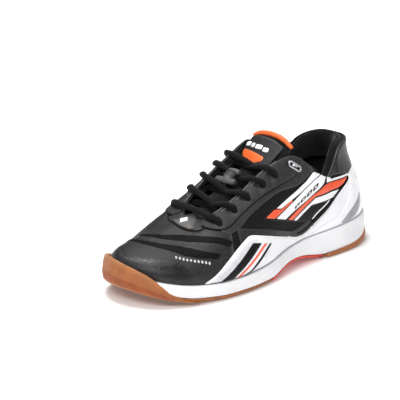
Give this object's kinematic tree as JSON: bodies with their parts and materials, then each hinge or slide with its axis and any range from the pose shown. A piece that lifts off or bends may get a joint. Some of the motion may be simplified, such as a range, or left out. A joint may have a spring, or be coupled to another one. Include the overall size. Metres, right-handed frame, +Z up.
{
  "type": "court shoe",
  "caption": "Left low-cut indoor court shoe with gum outsole, white foam midsole, leather and mesh upper, padded collar and folding tongue head.",
  "frame": {"origin": "centre of the bounding box in plan, at the ground that the outsole stands on", "axes": "+X towards the toe, +Y towards the outer (lateral) side, +Z up"},
  "size_m": [0.298, 0.1102, 0.1174],
  "materials": {
    "gum_rubber": "matte translucent gum rubber with a moulded tread texture",
    "midsole_foam": "white moulded EVA foam, satin",
    "shank_plastic": "red-orange moulded arch plate",
    "board": "undyed fibre board and stiffener sheet",
    "sockliner_foam": "orange knitted top cloth over foam",
    "grey_leather": "fine-grained charcoal synthetic leather",
    "black_leather": "smooth black synthetic leather, low gloss",
    "quarter_mesh": "black air mesh with a small repeating knit",
    "lining_cloth": "black brushed lining cloth over foam",
    "white_synthetic": "smooth white synthetic, satin",
    "orange_synthetic": "smooth orange synthetic, satin",
    "grey_rubber": "dark grey moulded rubber, matte",
    "lace_braid": "black braided round lace",
    "silver_metal": "satin silver eyelet plate"
  },
  "bodies": {
    "shoe": {"outsole_forefoot": "gum_rubber", "outsole_heel": "gum_rubber", "shank_plate": "shank_plastic", "midsole": "midsole_foam", "strobel_board": "board", "sockliner": "sockliner_foam", "vamp": "grey_leather", "quarter_lateral": "quarter_mesh", "quarter_medial": "quarter_mesh", "toe_puff": "board", "heel_counter": "board", "vamp_lining": "lining_cloth", "quarter_lining_lateral": "lining_cloth", "quarter_lining_medial": "lining_cloth", "heel_lining": "lining_cloth", "collar_pad": "lining_cloth", "eyestay_lateral": "grey_leather", "eyestay_medial": "grey_leather", "heel_foxing": "white_synthetic", "heel_collar_panel": "black_leather", "side_overlay_lateral": "white_synthetic", "side_overlay_medial": "white_synthetic", "toe_cap": "black_leather", "vamp_band_upper": "black_leather", "vamp_band_lower": "black_leather", "throat_badge": "grey_rubber", "stripe_black": "black_leather", "stripe_orange": "orange_synthetic", "quarter_band_white": "white_synthetic", "quarter_wedge_orange": "orange_synthetic", "medial_wedge_orange": "orange_synthetic", "heel_insert_lateral": "grey_rubber", "heel_insert_medial": "grey_rubber", "eyelet_plate_lateral": "silver_metal", "eyelet_plate_medial": "silver_metal", "tongue_lower": "quarter_mesh", "lace_keeper": "grey_rubber", "lace": "lace_braid"},
    "tongue_head": {"tongue_head": "grey_leather", "tongue_top_binding": "orange_synthetic", "tongue_patch": "orange_synthetic"}
  },
  "joints": [
    {"name": "tongue_fold", "type": "hinge", "parent": "shoe", "child": "tongue_head", "pos_m": [-0.0165, 0, 0.0895], "axis": [0, 1, 0], "range_deg": [-8, 35], "stiffness_Nm_per_rad": 0.1}
  ]
}
